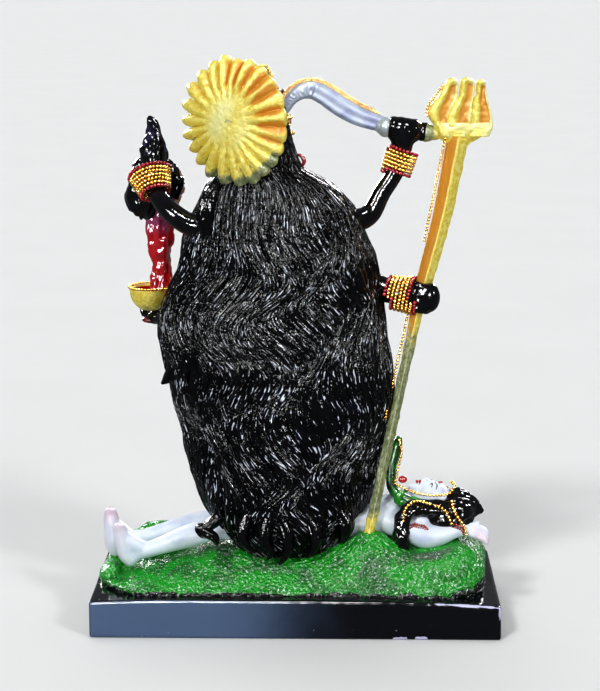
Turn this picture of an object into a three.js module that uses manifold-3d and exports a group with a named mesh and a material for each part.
// A painted cast figure of Kali, four-armed, with hair to the ground. She stands on a reclining figure
// that lies on a grass mound, and the mound sits on a black plinth.
// Millimetres, +Z up. The figure faces -Y, and the origin is the middle of the plinth's underside.
import * as THREE from "three";
import { mergeVertices } from "three/addons/utils/BufferGeometryUtils.js";
import Module from "manifold-3d";

const wasm = await Module();
wasm.setup();

// Driving sizes
const PLINTH_WIDTH = 178;
const PLINTH_DEPTH = 80;
const PLINTH_HEIGHT = 15;
const PLINTH_CHAMFER = 1.1;
const JOINT_GAP = 0.3;
const MOUND_MARGIN = 2.6;
const MOUND_EDGE_HEIGHT = 4;
const MOUND_HEIGHT = 18;
const MOUND_KNOLL = 9.5;
const RECLINING_LENGTH = 170;
const FIGURE_HEIGHT = 200;
const CROWN_DISC_RADIUS = 25.5;
const CROWN_DISC_DOME = 5.5;
const CROWN_DISC_THICKNESS = 2.6;
const CROWN_DISC_STAND_OFF = 23.5;
const CROWN_RAYS = 24;
const CROWN_HEIGHT = 27;
const HEAD_TURN = THREE.MathUtils.degToRad(33);
const SWORD_BLADE_WIDTH = 8;
const SWORD_BLADE_THICKNESS = 2.4;
const SWORD_GRIP_RADIUS = 2.6;
const POMMEL_RADIUS = 3.9;
const TRIDENT_BAR_TOP = 4.7;
const TRIDENT_BAR_FOOT = 3.1;
const TRIDENT_HEAD_WIDTH = 26;
const TRIDENT_HEAD_HEIGHT = 26;
const TRIDENT_HEAD_THICKNESS = 5.6;
const BOWL_RADIUS = 9.8;
const BOWL_DEPTH = 9.6;
const BOWL_WALL = 1.3;
const CUFF_CLEARANCE = 1;
const BEAD_RADIUS = 0.72;
const BEAD_PITCH = 1.4;
const BEAD_SIDES = 3;
const CUFF_BEAD_RADIUS = 1;
const CUFF_ROW_PITCH = 1.9;
const CUFF_ROWS = 6;
const CUFF_SIDES = 7;
const HAIR_LOCKS = 10;
const LOCK_RELIEF = 2;
const LOCK_SWAY = 6;
const LOCK_WAVE = 47;

// Colours and finishes
const FINISHES = {
  plinth_black: { color: 0x07080c, roughness: 0.16, metalness: 0 },
  gloss_black: { color: 0x050507, roughness: 0.12, metalness: 0 },
  grass_green: { color: 0x128a1c, roughness: 0.25, metalness: 0 },
  milk_white: { color: 0xe6ecf6, roughness: 0.25, metalness: 0 },
  bright_gold: { color: 0xe2b52a, roughness: 0.35, metalness: 0.6 },
  silver_blade: { color: 0xb9c2dc, roughness: 0.3, metalness: 0.5 },
  blood_red: { color: 0xb00818, roughness: 0.15, metalness: 0 },
  bead_gold: { color: 0xd79f35, roughness: 0.25, metalness: 0.9 },
};

const V = (x, y, z) => new THREE.Vector3(x, y, z);
const lerp = THREE.MathUtils.lerp;
const TAU = 2 * Math.PI;

// Units of the two figures: parts in 200 of the standing one's height, and in 170 of the reclining one's
// length. The pose tables below count in them.
const POSE_UNIT = FIGURE_HEIGHT / 200;
const REST_UNIT = RECLINING_LENGTH / 170;

// Heights that follow from the sizes above. The standing figure's feet are on the reclining one's body.
const BODY_RISE = 12.7;
const MOUND_BASE = PLINTH_HEIGHT + JOINT_GAP;
const MOUND_CREST = MOUND_BASE + MOUND_HEIGHT;
const STANDING_LEVEL = MOUND_CREST + BODY_RISE * REST_UNIT;

const poseSize = (units) => units * POSE_UNIT;
const restSize = (units) => units * REST_UNIT;
const pose = (x, y, z) => V(poseSize(x), poseSize(y), STANDING_LEVEL + poseSize(z));
const rest = (x, y, z) => V(restSize(x), restSize(y), MOUND_CREST + restSize(z));
const placed = (points) => points.map((p) => pose(...p));

// Solids

function solid(geometry) {
  const bare = geometry.clone();
  bare.deleteAttribute("normal");
  bare.deleteAttribute("uv");
  const merged = mergeVertices(bare, 1e-4);
  const vertProperties = new Float32Array(merged.attributes.position.array);
  const triVerts = new Uint32Array(merged.index.array);
  const made = new wasm.Manifold(new wasm.Mesh({ numProp: 3, vertProperties, triVerts }));
  if (made.volume() > 0) return made;
  for (let i = 0; i < triVerts.length; i += 3) {
    [triVerts[i + 1], triVerts[i + 2]] = [triVerts[i + 2], triVerts[i + 1]];
  }
  return new wasm.Manifold(new wasm.Mesh({ numProp: 3, vertProperties, triVerts }));
}

const union = (solids) => solids.reduce((joined, next) => joined.add(next));

function largest(made) {
  return made.decompose().reduce((best, next) => (next.volume() > best.volume() ? next : best));
}

function geometryOf(made) {
  const mesh = made.getMesh();
  const geometry = new THREE.BufferGeometry();
  geometry.setAttribute("position", new THREE.BufferAttribute(new Float32Array(mesh.vertProperties), 3));
  geometry.setIndex(new THREE.BufferAttribute(new Uint32Array(mesh.triVerts), 1));
  geometry.computeVertexNormals();
  return geometry;
}

// A closed skin over rings of equal count, with a pole point before the first and after the last.
function skin(rings, firstPole, lastPole) {
  const count = rings[0].length;
  const points = rings.flat();
  const index = [];
  for (let r = 0; r < rings.length - 1; r += 1) {
    for (let i = 0; i < count; i += 1) {
      const a = r * count + i;
      const b = r * count + ((i + 1) % count);
      index.push(a, b, a + count, b, b + count, a + count);
    }
  }
  const last = (rings.length - 1) * count;
  for (let i = 0; i < count; i += 1) {
    const j = (i + 1) % count;
    index.push(points.length, j, i, points.length + 1, last + i, last + j);
  }
  points.push(firstPole, lastPole);
  const geometry = new THREE.BufferGeometry().setFromPoints(points);
  geometry.setIndex(index);
  return geometry;
}

// A smooth curve through numbers spread evenly over 0 to 1.
function through(values) {
  const curve = new THREE.SplineCurve(values.map((value, i) => new THREE.Vector2(i, value)));
  return (t) => curve.getPoint(THREE.MathUtils.clamp(t, 0, 1)).y;
}

// A limb along points, with a radius at each. Its section is flat times wider along wide.
// Round ends have a ring more than plain ones.
function limb(points, radii, options = {}) {
  const { sides = 7, steps = points.length, flat = 1, grow = 0, wide = V(0, 1, 0), round = false } = options;
  const path = new THREE.CatmullRomCurve3(points, false, "centripetal");
  const radiusAt = through(radii);
  const ringAt = (t, shrink, push) => {
    const tangent = path.getTangent(t);
    const first = wide.clone().addScaledVector(tangent, -wide.dot(tangent)).normalize();
    const second = tangent.clone().cross(first);
    const radius = (radiusAt(t) + grow) * shrink;
    const centre = path.getPoint(t).addScaledVector(tangent, push * (radiusAt(t) + grow));
    return Array.from({ length: sides }, (_, i) => {
      const angle = (i / sides) * TAU;
      return centre
        .clone()
        .addScaledVector(first, Math.cos(angle) * radius * flat)
        .addScaledVector(second, Math.sin(angle) * radius);
    });
  };
  const rings = Array.from({ length: steps + 1 }, (_, i) => ringAt(i / steps, 1, 0));
  if (round) {
    rings.unshift(ringAt(0, 0.72, -0.6));
    rings.push(ringAt(1, 0.72, 0.6));
  }
  const bulge = round ? 0.9 : 0.55;
  const pole = (t, way) =>
    path.getPoint(t).addScaledVector(path.getTangent(t), way * (radiusAt(t) + grow) * bulge);
  return solid(skin(rings, pole(0, -1), pole(1, 1)));
}

function ball(centre, radii, turn = 0, across = 10, down = 7) {
  const geometry = new THREE.SphereGeometry(1, across, down);
  geometry.rotateX(Math.PI / 2);
  geometry.scale(radii[0], radii[1], radii[2]);
  geometry.rotateZ(turn);
  geometry.translate(centre.x, centre.y, centre.z);
  return solid(geometry);
}

// Plinth

function plinth() {
  const half = [PLINTH_WIDTH / 2 - PLINTH_CHAMFER, PLINTH_DEPTH / 2 - PLINTH_CHAMFER];
  const outline = new THREE.Shape([
    new THREE.Vector2(-half[0], -half[1]),
    new THREE.Vector2(half[0], -half[1]),
    new THREE.Vector2(half[0], half[1]),
    new THREE.Vector2(-half[0], half[1]),
  ]);
  const geometry = new THREE.ExtrudeGeometry(outline, {
    depth: PLINTH_HEIGHT - 2 * PLINTH_CHAMFER,
    bevelEnabled: true,
    bevelThickness: PLINTH_CHAMFER,
    bevelSize: PLINTH_CHAMFER,
    bevelSegments: 1,
  });
  geometry.translate(0, 0, PLINTH_CHAMFER);
  return solid(geometry);
}

// Grass mound

const MOUND_HALF_LENGTH = PLINTH_WIDTH / 2 - MOUND_MARGIN;
const MOUND_HALF_DEPTH = PLINTH_DEPTH / 2 - 2 * MOUND_MARGIN;
const KNOLL = { x: -32, y: 19, spread: 12 };
const MOUND_STEPS_ROUND = 28;
const MOUND_RINGS = [1, 0.9, 0.74, 0.55, 0.3];
const moundRidge = through([0.9, 1.22, 1, 1, 1, 1, 1, 1, 0.76, 0.42, 0.16]);

// The height of the grass at a share out from the middle, where 1 is the rim.
function grassHeight(x, y, out) {
  const along = (x / MOUND_HALF_LENGTH + 1) / 2;
  const ridge = MOUND_EDGE_HEIGHT + (MOUND_HEIGHT - MOUND_EDGE_HEIGHT) * moundRidge(along);
  const steepness = lerp(7, 2.1, THREE.MathUtils.smoothstep(along, 0.22, 0.5));
  const fall = 1 - Math.max(0, out) ** steepness;
  const away = ((x - KNOLL.x) ** 2 + (y - KNOLL.y) ** 2) / KNOLL.spread ** 2;
  const lumps = 0.55 * Math.sin(x * 0.31 + 1.1) * Math.sin(y * 0.43 + 0.4);
  const knoll = MOUND_KNOLL * Math.exp(-away);
  return MOUND_BASE + lerp(MOUND_EDGE_HEIGHT, ridge + lumps + knoll, fall);
}

function grassMound(grow = 0) {
  const [a, b] = [MOUND_HALF_LENGTH + grow, MOUND_HALF_DEPTH + grow];
  const corner = 0.62 * b;
  const outline = new THREE.Shape();
  outline.moveTo(a, 0);
  outline.absarc(a - corner, b - corner, corner, 0, 0.25 * TAU);
  outline.absarc(corner - a, b - corner, corner, 0.25 * TAU, 0.5 * TAU);
  outline.absarc(corner - a, corner - b, corner, 0.5 * TAU, 0.75 * TAU);
  outline.absarc(a - corner, corner - b, corner, 0.75 * TAU, TAU);
  outline.lineTo(a, 0);
  const rim = outline.getSpacedPoints(MOUND_STEPS_ROUND).slice(1);
  const ring = (share, height) =>
    rim.map((point, i) => {
      const wander = share * (1 - 0.012 * (1 + Math.sin(i * 1.9)));
      const [x, y] = [point.x * wander, point.y * wander];
      return V(x, y, height(x, y));
    });
  const rings = [ring(0.975, () => MOUND_BASE - grow), ring(1, () => MOUND_BASE + 0.7 * MOUND_EDGE_HEIGHT)];
  MOUND_RINGS.forEach((out) => rings.push(ring(out * 0.995, (x, y) => grassHeight(x, y, out) + grow)));
  return solid(skin(rings, V(0, 0, MOUND_BASE - grow), V(0, 0, grassHeight(0, 0, 0) + grow)));
}

// Reclining figure

// Each part: points, radii and how much wider than tall it is.
const RECLINING = {
  trunk: [[[2, 0, 4], [-14, 0, 7], [-30, 0, 9], [-44, 0, 10], [-54, 0, 16]], [8.6, 8.8, 9.6, 7.8, 4.2], 1.42],
  legNear: [
    [[-2, 6, 5], [22, 7.5, 6.8], [41, 8, 5.6], [59, 8, -1.2], [73, 8, -6]],
    [7.2, 6, 4.9, 4, 3.4], 1.1,
  ],
  legFar: [
    [[-2, -6, 5], [22, -7, 7], [41, -6, 6.4], [59, -5.5, 1.6], [81, -5, -6]],
    [7.2, 6, 4.7, 4, 3.4], 1.1,
  ],
  footNear: [[[73.6, 8, -9.4], [76, 8, -4], [78, 8.5, 5], [79.4, 9, 12.4]], [3.8, 4.4, 3.4, 1.9], 1.2],
  footFar: [[[82, -5, -9.6], [83.6, -5, -4], [84.4, -5.5, 5], [84.8, -6, 12.2]], [3.6, 4, 3, 1.9], 1.2],
  armNear: [
    [[-45, 13, 8], [-53, 15, 5], [-61, 15, 4.8], [-70, 13, 5], [-76, 12, 5], [-82, 10.5, 5.2], [-87, 9, 3.4]],
    [4.4, 5.4, 5, 4.1, 3.4, 3.5, 1.5], 1.1,
  ],
  armFar: [
    [[-41, -12, 9], [-27, -19, 4.5], [-12, -21, 1.6], [0, -18, 1], [8, -16, 0]],
    [4.8, 4.2, 3.5, 3, 1.8], 1.1,
  ],
  topKnot: [[[-73, -1, 16], [-79, -1.4, 15], [-83.6, -1.8, 13.8]], [8.6, 5.4, 1.6], 1.1],
  lockNear: [
    [[-64, 9, 15], [-57, 11, 15.6], [-50.5, 12.6, 16], [-45.6, 14.6, 12.6], [-44.6, 16, 6], [-45.6, 16.4, 0]],
    [4.4, 4, 3.7, 3.5, 3.2, 2.4], 1,
  ],
  serpent: [
    [[-56, 10.5, 20], [-49, 10.6, 21], [-43.4, 9, 25.6], [-43, 5, 33], [-44.4, 2, 40], [-46.2, 0.6, 45.4]],
    [1.6, 1.9, 2, 1.8, 2.4, 1.5], 0.8,
  ],
};
const RECLINING_HEAD = { at: [-61, 0, 18.6], radii: [11.4, 9, 8.9] };
const RECLINING_HAIR = { at: [-69, 2, 13], radii: [11.6, 11.8, 11.6] };
const RECLINING_NOSE = { at: [-58.4, 0, 26.8], radii: [2.2, 1.2, 2] };

function reclining(grow = 0) {
  const built = Object.values(RECLINING).map(([points, radii, flat]) =>
    limb(
      points.map((p) => rest(...p)),
      radii.map(restSize),
      { flat, grow, sides: radii[0] > 7 ? 6 : 5, steps: points.length - 1, round: radii[0] > 8 },
    ),
  );
  [RECLINING_HEAD, RECLINING_HAIR, RECLINING_NOSE].forEach(({ at, radii }) =>
    built.push(ball(rest(...at), radii.map((r) => restSize(r) + grow), 0, 8, 5)),
  );
  return union(built);
}

// Hair of the standing figure
// Each station: height, middle, half width, back depth and front depth, in the figure's pose units.
const HAIR_STATIONS = [
  [181, 13, 5, 9, 1],
  [174, 13, 10.6, 13, -2.5],
  [163, 13, 12.2, 15, -2.5],
  [155, 14, 15, 16, -2],
  [148, 13, 22, 18, -1],
  [141, 10.2, 31.2, 19.5, 0],
  [131, 8.6, 36, 21, 0],
  [117, 7.7, 41.4, 23, -1],
  [104, 8.7, 45.6, 24.5, -2],
  [91, 10, 49.4, 25.5, -3],
  [80, 9.8, 50.2, 26.5, -3],
  [66, 7, 50.6, 27, -3],
  [53, 5.4, 47.8, 27, -3],
  [38, 6.4, 44.4, 27, -3],
  [20, 6.2, 40.4, 26, -3],
  [5, 5.6, 37, 25, -3],
  [-4, 4.5, 31.5, 23.5, -3],
  [-16, 4, 22, 20.5, -3],
];
const HAIR_BACK_COLUMNS = 3 * HAIR_LOCKS;
const HAIR_FRONT_COLUMNS = 6;
const HAIR_ROWS = 15;

// The hair's station at a height, worked out by straight steps between the stations above.
function hairStation(height) {
  const after = HAIR_STATIONS.findIndex((station) => station[0] <= height);
  if (after === 0) return HAIR_STATIONS[0];
  if (after < 0) return HAIR_STATIONS.at(-1);
  const [upper, lower] = [HAIR_STATIONS[after - 1], HAIR_STATIONS[after]];
  const share = (upper[0] - height) / (upper[0] - lower[0]);
  return upper.map((value, i) => lerp(value, lower[i], share));
}

// A point of the hair's surface. Angle 0 faces the back, and 90 degrees the figure's left side.
function hairPoint(angle, height, relief) {
  const [, middle, half, back, front] = hairStation(height);
  const s = Math.sin(angle);
  const c = Math.cos(angle);
  const centreY = front + 4;
  const deep = c > 0 ? back - centreY : centreY - front;
  const x = middle + (half + relief * Math.abs(s)) * Math.sign(s) * Math.abs(s) ** 0.92;
  const y = centreY + (deep + relief * Math.abs(c)) * Math.sign(c) * Math.abs(c) ** 0.8;
  return pose(x, y, height);
}

function hairMantle() {
  const [top, bottom] = [HAIR_STATIONS[0][0], HAIR_STATIONS.at(-1)[0]];
  const columns = HAIR_BACK_COLUMNS + HAIR_FRONT_COLUMNS;
  const backSpan = 1.12 * Math.PI;
  const angleOf = (i) =>
    i < HAIR_BACK_COLUMNS
      ? -backSpan / 2 + (backSpan * i) / (HAIR_BACK_COLUMNS - 1)
      : backSpan / 2 + ((TAU - backSpan) * (i - HAIR_BACK_COLUMNS + 1)) / (HAIR_FRONT_COLUMNS + 1);
  const rings = [];
  for (let row = 0; row <= HAIR_ROWS; row += 1) {
    const height = lerp(top, bottom, (row / HAIR_ROWS) ** 0.95);
    const loose = THREE.MathUtils.smoothstep(top - height, 20, 70);
    rings.push(
      Array.from({ length: columns }, (_, i) => {
        const angle = angleOf(i);
        const behind = Math.max(0, Math.cos(angle * 0.9));
        const wave = (TAU * height) / LOCK_WAVE + 1.4 * Math.sin(1.7 * angle + 0.4);
        const sway = (loose * LOCK_SWAY * behind * Math.sin(wave)) / 46;
        const crest = i < HAIR_BACK_COLUMNS ? [1, 0.1, -1][i % 3] : 0;
        const swell = 0.9 * Math.sin(wave * 1.6 + angle * 5);
        return hairPoint(angle + sway, height, lerp(0.5, 1, loose) * (LOCK_RELIEF * crest + swell));
      }),
    );
  }
  const [, middleTop] = HAIR_STATIONS[0];
  return solid(skin(rings, pose(middleTop, 5, top + 2.5), pose(4, 8, bottom - 2)));
}

// Stray locks that leave the outline: points and radii.
const STRAY_LOCKS = [
  [[[52, 10, 70], [56, 10, 63], [60, 10, 59.5]], [4.5, 3, 1]],
  [[[38, 19, 8], [43.6, 21, 0], [37.5, 21, -6], [31.5, 21, -9.5]], [3, 2.6, 2.2, 1]],
  [[[-20, 15, 6], [-22, 18, -2], [-20, 17, -8]], [5, 3.6, 2.2]],
];

// Head, body and limbs of the standing figure

const FACE_WAY = V(-Math.sin(HEAD_TURN), -Math.cos(HEAD_TURN), 0);
const FACE_SIDE = V(Math.cos(HEAD_TURN), -Math.sin(HEAD_TURN), 0);
const HEAD_CENTRE = [13, -2, 163];

// A point of the head: sideways, forwards and upwards from its middle, in pose units.
function onHead(side, forward, up) {
  return pose(...HEAD_CENTRE)
    .addScaledVector(FACE_SIDE, poseSize(side))
    .addScaledVector(FACE_WAY, poseSize(forward))
    .add(V(0, 0, poseSize(up)));
}

function head() {
  const lump = (at, radii, across, down) =>
    ball(onHead(...at), radii.map(poseSize), -HEAD_TURN, across, down);
  return union([
    lump([0, 0, 0], [10.4, 11.6, 13], 9, 6),
    lump([0, 4.5, -7.5], [6.4, 6, 5.6], 6, 4),
    lump([0, 11.3, 0.4], [1.6, 2, 3.2], 4, 4),
    lump([0, 10.2, -8.6], [2.1, 1.4, 3.8], 5, 4),
  ]);
}

// Each part of the body and legs: points, radii, how deep it is for its width, and sides.
const BODY = {
  trunk: [
    [[8, -4, 70], [8, -6, 98], [8, -8, 118], [9.5, -4, 136], [12.5, -2, 152]],
    [12.5, 10, 13.4, 6.5, 5], 0.78, 8,
  ],
  shoulders: [[[30, -1, 131], [10, -3, 134], [-12, 0, 133]], [6.2, 6.8, 6.2], 1, 6],
  legRight: [
    [[1, -5, 74], [-7, -11, 57], [-15, -15, 39], [-22, -12, 24], [-29, -9, 9]],
    [9, 7.4, 5.2, 5, 3.2], 1, 6,
  ],
  footRight: [[[-28.6, -7, 8.4], [-30, -14, 7.6], [-31.5, -21, 5.6]], [3.4, 3.2, 1.8], 1, 5],
  legLeft: [
    [[15, -4, 74], [19, -8, 56], [21, -9, 38], [22, -6, 21], [22, -4, 5]],
    [9, 7.4, 5.2, 5, 3.2], 1, 6,
  ],
  footLeft: [[[22, -2, 4], [23, -10, 3], [24, -17, 0.6]], [3.4, 3.2, 1.8], 1, 5],
};
const SKIRT = { top: 88, bottom: 53, waist: 12, hem: 23, folds: 8, foldDepth: 0.1, depth: 0.68 };

function skirt() {
  const rows = 2;
  const ring = (share) =>
    Array.from({ length: 2 * SKIRT.folds }, (_, i) => {
      const angle = (i / (2 * SKIRT.folds)) * TAU;
      const fold = 1 + SKIRT.foldDepth * share * (i % 2 ? -1 : 1);
      const radius = lerp(SKIRT.waist, SKIRT.hem, share ** 0.8) * fold;
      const [x, y] = [radius * Math.cos(angle), SKIRT.depth * radius * Math.sin(angle)];
      return pose(8 + x, y - 3 - 3 * share, lerp(SKIRT.top, SKIRT.bottom, share));
    });
  const rings = Array.from({ length: rows + 1 }, (_, row) => ring(row / rows));
  return solid(skin(rings, pose(8, -3, SKIRT.top + 1), pose(8, -6, SKIRT.bottom)));
}

// The four arms, from the shoulder into the hand: points and radii.
const ARMS = {
  leftUpper: [
    [[27, 2, 132], [36, 8, 127], [44.5, 8, 128], [53, 2, 136], [61, -5, 145.5], [62.4, -8.6, 153]],
    [6.4, 5.8, 5.4, 5, 4.4, 4.2],
  ],
  leftLower: [
    [[29, -2, 127], [40, -6, 110], [48, -9, 96], [56, -11, 88], [63, -12, 86.4]],
    [6.2, 5.4, 5, 4.4, 3.8],
  ],
  rightUpper: [
    [[-11, 2, 134], [-22, 3, 131], [-31, 2, 133.2], [-37.5, 1, 143], [-44, 0, 155], [-46, 0, 164]],
    [6.4, 5.6, 4.8, 4.5, 4.1, 4],
  ],
  rightLower: [
    [[-12, -2, 129], [-23, -5, 115], [-31, -2, 104], [-40, 1, 100], [-53, 3.4, 98.4]],
    [6.2, 5.4, 5, 4.7, 4.2],
  ],
};

function arm(name, grow = 0) {
  const [points, radii] = ARMS[name];
  return limb(placed(points), radii.map(poseSize), { sides: 6, steps: 6, grow, wide: V(0, 1, 0.2) });
}

// A closed hand round a bar: a roll with four finger ridges on the side away from the palm.
function fist(centre, bar, palmWay, size, grow = 0) {
  const along = bar.clone().normalize();
  const out = palmWay.clone().addScaledVector(along, -palmWay.dot(along)).normalize();
  const across = along.clone().cross(out);
  const at = (a, o, c) =>
    centre.clone().addScaledVector(along, a).addScaledVector(out, o).addScaledVector(across, c);
  const sides = 6;
  const ring = (share) => {
    const ridge = Math.cos((share + 1) * 4 * Math.PI);
    const taper = 1 - 0.22 * share ** 6;
    return Array.from({ length: sides }, (_, i) => {
      const angle = (i / sides) * TAU;
      const fingers = Math.max(0, -Math.cos(angle) + 0.35);
      const radius = size * taper * (1.02 - 0.12 * fingers * (1 + ridge)) + grow;
      const outwards = 0.14 * size + radius * Math.cos(angle);
      return at(share * (size + grow), outwards, 0.96 * radius * Math.sin(angle));
    });
  };
  const rings = [-1, -0.75, -0.5, -0.25, 0, 0.25, 0.5, 0.75, 1].map(ring);
  return solid(skin(rings, at(-1.1 * size - grow, 0, 0), at(1.1 * size + grow, 0, 0)));
}

// An open hand under a bowl: a palm, and fingers that curl up round it.
function openHand(centre, size, grow = 0) {
  const finger = (turn) => {
    const way = V(Math.cos(turn), Math.sin(turn), 0);
    const at = (out, up) => centre.clone().addScaledVector(way, out * size).add(V(0, 0, up * size));
    const radii = [0.38, 0.32, 0.2].map((r) => r * size);
    const points = [at(0.5, 0), at(1.3, 0.1), at(1.75, 0.85)];
    return limb(points, radii, { sides: 4, steps: 2, grow, wide: V(0, 0, 1) });
  };
  const turns = [-100, -60, -20, 100].map(THREE.MathUtils.degToRad);
  return union([ball(centre, [size, size, 0.5 * size].map((r) => r + grow), 0, 7, 4), ...turns.map(finger)]);
}

// Held things

const SWORD_HAND = pose(-47, 0, 169.5);
const GRIP_WAY = V(-1, 0, -0.09).normalize();
const STAFF_HAND = pose(-56, 3.8, 98);
const HAIR_HAND = pose(62.3, -9.5, 157);
const BOWL_HAND = pose(65.5, -12, 87);
const BOWL_CENTRE = BOWL_HAND.clone().add(V(0, 0, poseSize(2.7) + JOINT_GAP + BOWL_DEPTH));

const BLADE_SPINE = [
  [-33, 171.4], [-26, 175], [-20, 179.6], [-14.5, 185.2],
  [-9, 187.9], [-3.6, 187], [1.6, 182.6], [4.6, 177.5],
];

// A point of the blade's edge, out by way times the half width there, where 1 is the upper edge.
function bladeEdge(share, way, beyond = 0) {
  const spine = new THREE.CatmullRomCurve3(BLADE_SPINE.map(([x, z]) => pose(x, 0, z)));
  const tangent = spine.getTangent(share);
  const swell = 0.84 + 0.26 * Math.sin(Math.PI * Math.min(1, share * 1.15)) - 0.35 * share ** 6;
  const reach = way * ((SWORD_BLADE_WIDTH / 2) * swell + beyond);
  return spine.getPoint(share).add(V(-tangent.z, 0, tangent.x).normalize().multiplyScalar(reach));
}

function blade() {
  const steps = 8;
  const edge = (way) => Array.from({ length: steps + 1 }, (_, i) => bladeEdge(i / steps, way));
  const outline = [...edge(1), ...edge(-1).reverse()].map((p) => new THREE.Vector2(p.x, p.z));
  const bevel = SWORD_BLADE_THICKNESS * 0.32;
  const geometry = new THREE.ExtrudeGeometry(new THREE.Shape(outline), {
    depth: SWORD_BLADE_THICKNESS - 2 * bevel,
    bevelEnabled: true,
    bevelThickness: bevel,
    bevelSize: bevel,
    bevelOffset: -bevel,
    bevelSegments: 1,
  });
  geometry.rotateX(Math.PI / 2);
  geometry.translate(0, SWORD_HAND.y + SWORD_BLADE_THICKNESS / 2 - bevel, 0);
  return solid(geometry);
}

function hilt(grow = 0) {
  const at = (share) => SWORD_HAND.clone().addScaledVector(GRIP_WAY, share);
  const grip = [at(-13.5), at(-6), at(6)];
  const pommel = [at(5), at(8.4), at(10)];
  return union([
    limb(grip, [3.4, SWORD_GRIP_RADIUS, SWORD_GRIP_RADIUS], { grow, sides: 8, steps: 3 }),
    limb(pommel, [SWORD_GRIP_RADIUS, POMMEL_RADIUS, 3.1], { grow, sides: 8, steps: 2 }),
  ]);
}

// The trident's bar, from its foot on the mound through the fist to the head.
const TRIDENT_HEAD_FOOT = pose(-69.2, 1, 166.5);
const TRIDENT_FOOT = V(-33, 17.8, 0);
const footShare = Math.hypot(TRIDENT_FOOT.x / MOUND_HALF_LENGTH, TRIDENT_FOOT.y / MOUND_HALF_DEPTH);
TRIDENT_FOOT.z = grassHeight(TRIDENT_FOOT.x, TRIDENT_FOOT.y, footShare);
const BAR_RADII = [TRIDENT_BAR_FOOT, lerp(TRIDENT_BAR_FOOT, TRIDENT_BAR_TOP, 0.62), TRIDENT_BAR_TOP];

function tridentBar(grow = 0) {
  return limb([TRIDENT_FOOT, STAFF_HAND, TRIDENT_HEAD_FOOT], BAR_RADII, { sides: 4, steps: 7, grow });
}

// One prong's outline, as shares of the head's width and height, leaning out from its root.
function flame(lean) {
  const at = ([x, z]) =>
    new THREE.Vector2(
      (x + lean * Math.sin(Math.PI * Math.min(1, z * 1.25))) * TRIDENT_HEAD_WIDTH,
      z * TRIDENT_HEAD_HEIGHT,
    );
  const side = [[-0.1, 0.08], [-0.165, 0.34], [-0.12, 0.62], [-0.085, 0.94], [0.03, 1]];
  const otherSide = [[0.085, 0.93], [0.09, 0.76], [0.155, 0.4], [0.09, 0.08]];
  return new THREE.Shape([...side, ...otherSide].map(at));
}

function tridentHead() {
  const bevel = TRIDENT_HEAD_THICKNESS * 0.28;
  const place = (geometry, x) => {
    const foot = TRIDENT_HEAD_FOOT;
    return solid(geometry.translate(foot.x + x * TRIDENT_HEAD_WIDTH, foot.y, foot.z));
  };
  const prong = ([x, lean]) => {
    const geometry = new THREE.ExtrudeGeometry(flame(lean), {
      depth: TRIDENT_HEAD_THICKNESS - 2 * bevel,
      bevelEnabled: true,
      bevelThickness: bevel,
      bevelSize: bevel,
      bevelOffset: -bevel,
      bevelSegments: 1,
    });
    geometry.translate(0, 0, bevel - TRIDENT_HEAD_THICKNESS / 2);
    return place(geometry.rotateX(Math.PI / 2), x);
  };
  const w = TRIDENT_HEAD_WIDTH;
  const cupProfile = [[0, -0.1], [0.18, -0.09], [0.35, 0.02], [0.46, 0.16], [0.44, 0.27], [0, 0.2]];
  const cup = new THREE.LatheGeometry(cupProfile.map(([r, z]) => new THREE.Vector2(r * w, z * w)), 9);
  cup.rotateX(Math.PI / 2);
  cup.scale(1, 0.32, 1);
  return union([...[[-0.27, -0.1], [0, 0], [0.27, 0.1]].map(prong), place(cup, 0)]);
}

// The bowl, and the severed head whose blood falls into it

function bowl(grow = 0) {
  const steps = 4;
  const curve = (radius, depth) =>
    Array.from({ length: steps + 1 }, (_, i) => {
      const turn = (i / steps) * (Math.PI / 2);
      return new THREE.Vector2(radius * Math.sin(turn) ** 0.85, -depth * Math.cos(turn));
    });
  const inner = curve(BOWL_RADIUS - BOWL_WALL, BOWL_DEPTH - BOWL_WALL).reverse();
  const geometry = new THREE.LatheGeometry([...curve(BOWL_RADIUS + grow, BOWL_DEPTH + grow), ...inner], 12);
  geometry.rotateX(Math.PI / 2);
  geometry.translate(BOWL_CENTRE.x, BOWL_CENTRE.y, BOWL_CENTRE.z);
  return solid(geometry);
}

// A strand of points and radii, thicker by grow.
const strand = ([points, radii], grow = 0) =>
  limb(placed(points), radii.map(poseSize), { sides: 6, steps: points.length - 1, wide: V(1, 0, 0), grow });

const TUFT = [[[62, -13, 153], [62.2, -9.7, 159], [62, -9, 168], [63.6, -8.5, 175.6]], [6, 3.4, 3.2, 0.8]];
const SIDE_LOCK = [[[71, -17, 146], [72.4, -15, 138], [69.5, -14, 131]], [4.4, 4.2, 2.2]];
const BLOOD = [[[61, -19, 138], [60.6, -16.6, 122], [60.8, -14.6, 110], [61, -13, 95]], [6.6, 5.8, 4.4, 5]];

function severedScalp(grow = 0) {
  const lump = (at, radii, across, down) =>
    ball(pose(...at), radii.map((r) => poseSize(r) + grow), 0.4, across, down);
  return union([
    lump([60, -22, 144], [8.6, 9.6, 11], 7, 5),
    lump([52.4, -28, 143], [2.2, 2, 2.4], 4, 3),
    lump([62.3, -19.2, 145], [12, 10, 12.6], 8, 6),
    strand(SIDE_LOCK, grow),
  ]);
}

// Crown: a rayed disc behind the head, and a tiered cap round its top

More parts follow.
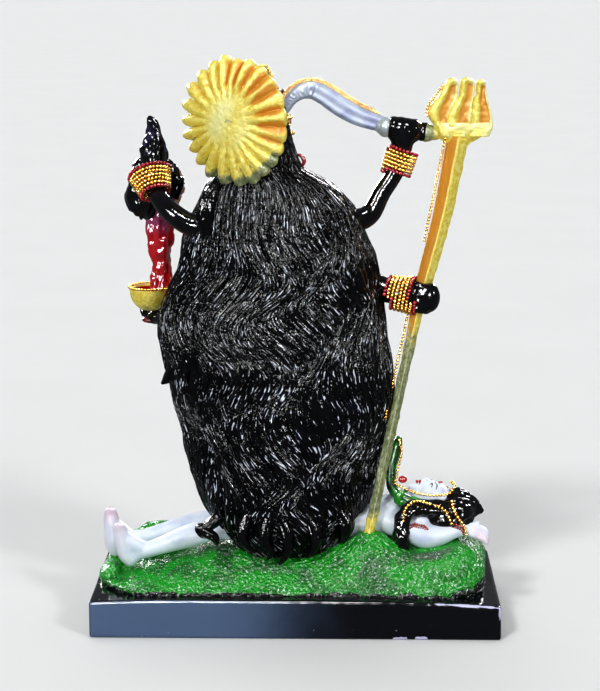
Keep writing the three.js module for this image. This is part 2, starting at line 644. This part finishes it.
function crownDisc(grow = 0) {
  const columns = 2 * CROWN_RAYS;
  const centre = onHead(0, 0, 13).addScaledVector(FACE_WAY, -CROWN_DISC_STAND_OFF);
  const back = FACE_WAY.clone().negate();
  const half = CROWN_DISC_THICKNESS / 2 + grow;
  const place = (share, i, lift) => {
    const angle = (i / columns) * TAU;
    const ray = (i % 2 ? -1 : 1) * THREE.MathUtils.smoothstep(share, 0.3, 0.6);
    const radius = (CROWN_DISC_RADIUS + grow) * share * (1 + 0.055 * ray * share);
    const rise = CROWN_DISC_DOME * (1 - share ** 2) + lift + Math.max(0, Math.sign(lift)) * 0.75 * ray;
    return centre
      .clone()
      .addScaledVector(FACE_SIDE, radius * Math.cos(angle))
      .add(V(0, 0, radius * Math.sin(angle)))
      .addScaledVector(back, rise);
  };
  const ring = (share, lift) => Array.from({ length: columns }, (_, i) => place(share, i, lift));
  const rings = [...[0.3, 0.6, 1].map((share) => ring(share, half)), ring(0.98, -half)];
  const first = centre.clone().addScaledVector(back, CROWN_DISC_DOME + half);
  const last = centre.clone().addScaledVector(back, -half);
  return solid(skin(rings, first, last));
}

function crown(grow = 0) {
  const base = poseSize(11.9) + grow;
  const profile = [
    [0, -0.12], [1, -0.12], [1.05, 0.08], [0.92, 0.2], [0.96, 0.3], [0.66, 0.44], [0.7, 0.56], [0.36, 0.72],
    [0.3, 0.84], [0, 1],
  ].map(([r, z]) => new THREE.Vector2(r * base, z * CROWN_HEIGHT - (z < 0 ? grow : 0)));
  const cap = new THREE.LatheGeometry(profile, 8);
  cap.rotateX(Math.PI / 2);
  const foot = onHead(0, 0.5, 9);
  cap.translate(foot.x, foot.y, foot.z);
  const centre = onHead(0, 0, 13);
  const stemEnd = centre.clone().addScaledVector(FACE_WAY, 2 - CROWN_DISC_STAND_OFF);
  const stem = limb([stemEnd, onHead(0, -6, 12)], [10, 7.4], { sides: 6, steps: 1, wide: V(0, 0, 1), grow });
  return union([crownDisc(grow), stem, solid(cap)]);
}

// Bead work

// Where each bracelet sits: its share of the arm's length, and how much it widens towards the hand.
const CUFFS = {
  leftUpper: [0.79, 2.6],
  leftLower: [0.5, 0],
  rightUpper: [0.76, 0],
  rightLower: [0.8, 0],
};
const CUFF_LENGTH = CUFF_ROWS * CUFF_ROW_PITCH;

// A profile of radius and height turned round the arm where that arm's bracelet sits.
function roundWrist(name, profile) {
  const [share, flare] = CUFFS[name];
  const [points, radii] = ARMS[name];
  const path = new THREE.CatmullRomCurve3(placed(points), false, "centripetal");
  const wrist = poseSize(through(radii)(share)) + CUFF_CLEARANCE;
  const outline = [...profile, profile[0]].map(
    ([r, z]) => new THREE.Vector2(wrist + r + flare * (z / CUFF_LENGTH + 0.5), z),
  );
  const geometry = new THREE.LatheGeometry(outline, CUFF_SIDES);
  geometry.applyQuaternion(new THREE.Quaternion().setFromUnitVectors(V(0, 1, 0), path.getTangent(share)));
  const at = path.getPoint(share);
  return solid(geometry.translate(at.x, at.y, at.z));
}

// A sleeve of bead rows round a wrist.
function cuff(name) {
  const crest = 2 * CUFF_BEAD_RADIUS;
  const valley = crest - 0.6 * CUFF_BEAD_RADIUS;
  const end = CUFF_LENGTH / 2;
  const rows = Array.from({ length: CUFF_ROWS }, (_, row) => {
    const z = row * CUFF_ROW_PITCH - end;
    return [[valley, z], [crest, z + CUFF_ROW_PITCH / 2]];
  });
  return roundWrist(name, [...rows.flat(), [valley, end], [0, end], [0, -end]]);
}

// A plain ring that clears the bracelet all round.
function cuffRoom(name) {
  const crest = 2 * CUFF_BEAD_RADIUS + JOINT_GAP;
  const end = CUFF_LENGTH / 2 + JOINT_GAP;
  return roundWrist(name, [[crest, -end], [crest, end], [-JOINT_GAP, end], [-JOINT_GAP, -end]]);
}

// A string of beads along a curve, with few sides, joined where they touch.
function beadString(points, closed = false) {
  const path = new THREE.CatmullRomCurve3(points, closed, "centripetal");
  const count = Math.max(3, Math.round(path.getLength() / BEAD_PITCH));
  const ring = (share, radius) => {
    const tangent = path.getTangentAt(share);
    const lead = Math.abs(tangent.y) < 0.8 ? V(0, 1, 0) : V(0, 0, 1);
    const first = lead.addScaledVector(tangent, -lead.dot(tangent)).normalize();
    const second = tangent.clone().cross(first);
    return Array.from({ length: BEAD_SIDES }, (_, i) => {
      const angle = (i / BEAD_SIDES) * TAU;
      return path
        .getPointAt(share)
        .addScaledVector(first, radius * Math.cos(angle))
        .addScaledVector(second, radius * Math.sin(angle));
    });
  };
  const rings = [];
  for (let bead = 0; bead < count; bead += 1) {
    if (bead > 0) rings.push(ring(bead / count, 0.35 * BEAD_RADIUS));
    rings.push(ring((bead + 0.5) / count, BEAD_RADIUS));
  }
  return solid(skin(rings, path.getPointAt(0), path.getPointAt(1)));
}

// Where the strings lie, from the middle of each bead, clear of what they edge.
const BEAD_CLEAR = BEAD_RADIUS + JOINT_GAP;
const bladeString = Array.from({ length: 9 }, (_, i) => bladeEdge(0.04 + 0.9 * (i / 8), 1, BEAD_CLEAR));
const bowlString = Array.from({ length: 12 }, (_, i) => {
  const angle = TAU * (-0.02 + 0.5 * (i / 11));
  const reach = BOWL_RADIUS - BOWL_WALL / 2;
  return BOWL_CENTRE.clone().add(V(reach * Math.cos(angle), reach * Math.sin(angle), BEAD_CLEAR));
});

// Assembly

const bodyLimb = ([points, radii, flat, sides]) =>
  limb(placed(points), radii.map(poseSize), { sides, flat, steps: points.length - 1, round: radii[0] > 10 });
const lock = ([points, radii]) =>
  limb(placed(points), radii.map(poseSize), { sides: 5, steps: points.length - 1 });
const hands = (grow) => [
  fist(SWORD_HAND, GRIP_WAY, V(0, -0.2, -1), poseSize(7), grow),
  fist(STAFF_HAND, TRIDENT_HEAD_FOOT.clone().sub(STAFF_HAND), V(1, 0, 0), poseSize(7.4), grow),
  fist(HAIR_HAND, V(0, 0, 1), V(0.3, 1, 0), poseSize(6.6), grow),
  openHand(BOWL_HAND, poseSize(5.2), grow),
];
const armNames = Object.keys(ARMS);

const mound = grassMound();
const moundRoom = grassMound(JOINT_GAP);
const handRoom = union(hands(JOINT_GAP));
const armRoom = union(armNames.map((name) => arm(name, JOINT_GAP)));
const scalpRoom = severedScalp(JOINT_GAP);
const crownRoom = crown(JOINT_GAP);
const bowlRoom = bowl(JOINT_GAP);
const hiltRoom = hilt(JOINT_GAP);
const barRoom = tridentBar(JOINT_GAP);

const reclined = largest(reclining().subtract(moundRoom));
const hair = union([hairMantle(), ...STRAY_LOCKS.map(lock)]).subtract(union(armNames.map(cuffRoom)));
const body = union([hair, head(), ...Object.values(BODY).map(bodyLimb), skirt()]);
const limbs = union([...armNames.map((name) => arm(name)), ...hands(0)]).subtract(strand(TUFT, JOINT_GAP));
const kaliRoom = union([moundRoom, reclining(JOINT_GAP), hiltRoom, barRoom, bowlRoom, crownRoom]);
const kali = largest(body.add(limbs).subtract(kaliRoom));
const scalp = severedScalp().subtract(armRoom).subtract(handRoom);
const severed = largest(union([scalp, strand(TUFT), strand(BLOOD).subtract(bowlRoom)]));
const sword = largest(blade().add(hilt()).subtract(crownRoom));
const barOnMound = largest(tridentBar().subtract(moundRoom));
const trident = barOnMound.add(tridentHead()).subtract(hiltRoom);
const cuffNeighbours = union([armRoom, handRoom, scalpRoom, bowlRoom, barRoom]);

function node(name, made, finish) {
  const mesh = new THREE.Mesh(geometryOf(made), new THREE.MeshStandardMaterial(FINISHES[finish]));
  mesh.name = name;
  return mesh;
}

const bracelet = (name) => {
  const words = name.replace(/[A-Z]/g, (letter) => "_" + letter.toLowerCase());
  return node("bracelet_" + words, largest(cuff(name).subtract(cuffNeighbours)), "bead_gold");
};

const group = new THREE.Group();
group.add(
  node("plinth", plinth(), "plinth_black"),
  node("grass_mound", mound, "grass_green"),
  node("reclining_figure", reclined, "milk_white"),
  node("kali_figure", kali, "gloss_black"),
  node("crown", crown(), "bright_gold"),
  node("sword", sword, "silver_blade"),
  node("trident", trident, "bright_gold"),
  node("bowl", bowl(), "bright_gold"),
  node("severed_head", severed, "blood_red"),
  ...armNames.map(bracelet),
  node("blade_beads", largest(beadString(bladeString).subtract(crownRoom)), "bead_gold"),
  node("bowl_beads", beadString(bowlString), "bead_gold"),
);

export default group;
